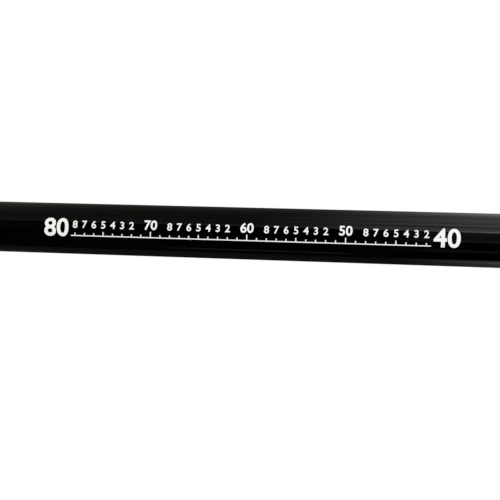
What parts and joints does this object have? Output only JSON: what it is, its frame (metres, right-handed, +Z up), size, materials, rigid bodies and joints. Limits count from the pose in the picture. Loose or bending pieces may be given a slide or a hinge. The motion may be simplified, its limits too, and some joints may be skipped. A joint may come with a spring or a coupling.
{
  "type": "telescopic flagpole",
  "caption": "Closed telescopic flagpole: a slim tapered gloss tube on a fluted screw cap, with nested sections that draw out and lock by their taper, and a tip lug with an eye.",
  "frame": {"origin": "centre of the rubber foot's sole, on the pole's axis", "axes": "+Z up the pole's axis towards the tip; +Y along the eye in the tip lug"},
  "size_m": [0.06, 0.06, 1.536],
  "materials": {
    "black_fibreglass": "gloss black lacquer over glass fibre",
    "wound_band": "wound glass thread under clear lacquer",
    "moulded_nylon": "fine spark texture",
    "foot_rubber": "matt moulded rubber",
    "insert_alloy": "black anodised, turned",
    "eyelet_steel": "rolled stainless",
    "white_ink": "screen printed"
  },
  "bodies": {
    "base": {"rubber_foot": "foot_rubber", "butt_cap": "moulded_nylon", "cap_washer": "foot_rubber", "butt_insert": "insert_alloy", "buffer_pad": "foot_rubber", "base_section": "black_fibreglass", "base_band": "wound_band"},
    "section_2": {"section_2": "black_fibreglass", "band_2": "wound_band"},
    "section_3": {"section_3": "black_fibreglass", "band_3": "wound_band"},
    "section_4": {"section_4": "black_fibreglass", "band_4": "wound_band"},
    "section_5": {"section_5": "black_fibreglass", "band_5": "wound_band"},
    "section_6": {"section_6": "black_fibreglass", "band_6": "wound_band"},
    "tip": {"tip_section": "black_fibreglass", "tip_cap": "moulded_nylon", "tip_eyelet": "eyelet_steel"}
  },
  "joints": [
    {"name": "draw_section_2", "type": "slide", "parent": "base", "child": "section_2", "axis": [0, 0, 1], "range_m": [0, 1.184]},
    {"name": "draw_section_3", "type": "slide", "parent": "section_2", "child": "section_3", "axis": [0, 0, 1], "range_m": [0, 1.208]},
    {"name": "draw_section_4", "type": "slide", "parent": "section_3", "child": "section_4", "axis": [0, 0, 1], "range_m": [0, 1.232]},
    {"name": "draw_section_5", "type": "slide", "parent": "section_4", "child": "section_5", "axis": [0, 0, 1], "range_m": [0, 1.256]},
    {"name": "draw_section_6", "type": "slide", "parent": "section_5", "child": "section_6", "axis": [0, 0, 1], "range_m": [0, 1.28]},
    {"name": "draw_tip", "type": "slide", "parent": "section_6", "child": "tip", "axis": [0, 0, 1], "range_m": [0, 1.304]}
  ]
}
